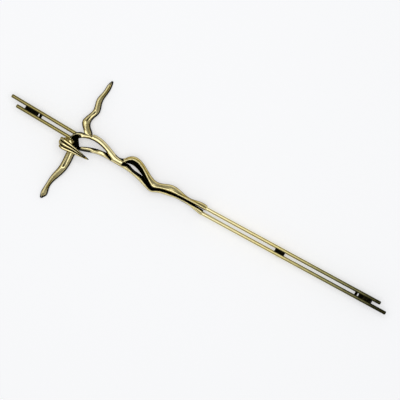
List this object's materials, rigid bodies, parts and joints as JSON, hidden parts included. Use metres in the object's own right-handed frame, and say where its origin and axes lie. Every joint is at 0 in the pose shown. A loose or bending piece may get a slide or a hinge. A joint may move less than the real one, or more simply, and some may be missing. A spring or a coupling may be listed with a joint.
{
  "type": "hat pin",
  "caption": "Long hat pin of slim paired rails carrying an openwork figure with outstretched arms, with a hinged stem and rotating safety catch behind.",
  "frame": {"origin": "middle of the length and of the arm span, on the surface under the hands and the hinge", "axes": "+X along the rails towards the feet, +Y towards the figure's left hand, +Z out of the front"},
  "size_m": [0.18, 0.0572, 0.0076],
  "materials": {
    "antique_brass": "cast and polished on the ridges, dark patina in the hollows",
    "blackened_brass": "chemically blackened, matt",
    "fastening_brass": "stamped and turned, dulled",
    "stem_steel": "drawn wire with a ground point"
  },
  "bodies": {
    "pin_front": {"upper_head_rail": "antique_brass", "lower_head_rail": "antique_brass", "upper_foot_rail": "antique_brass", "lower_foot_rail": "antique_brass", "head_end_spacer": "blackened_brass", "head_end_stop": "blackened_brass", "foot_end_spacer": "blackened_brass", "foot_end_stop": "blackened_brass", "middle_spacer": "blackened_brass", "head_and_hair": "antique_brass", "torso": "antique_brass", "left_arm": "antique_brass", "right_arm": "antique_brass", "left_leg": "antique_brass", "right_leg": "antique_brass", "hinge_plate": "fastening_brass", "hinge_rivet": "fastening_brass", "catch_hook": "fastening_brass"},
    "stem": {"pin_stem": "stem_steel"},
    "collar": {"catch_collar": "fastening_brass"}
  },
  "joints": [
    {"name": "stem_swing", "type": "hinge", "parent": "pin_front", "child": "stem", "pos_m": [0.0391, -0.00061, 0.00115], "axis": [0, -1, 0], "range_deg": [0, 90]},
    {"name": "collar_turn", "type": "hinge", "parent": "pin_front", "child": "collar", "pos_m": [-0.0223, -0.00061, 0.0018], "axis": [1, 0, 0], "range_deg": [0, 90]}
  ]
}
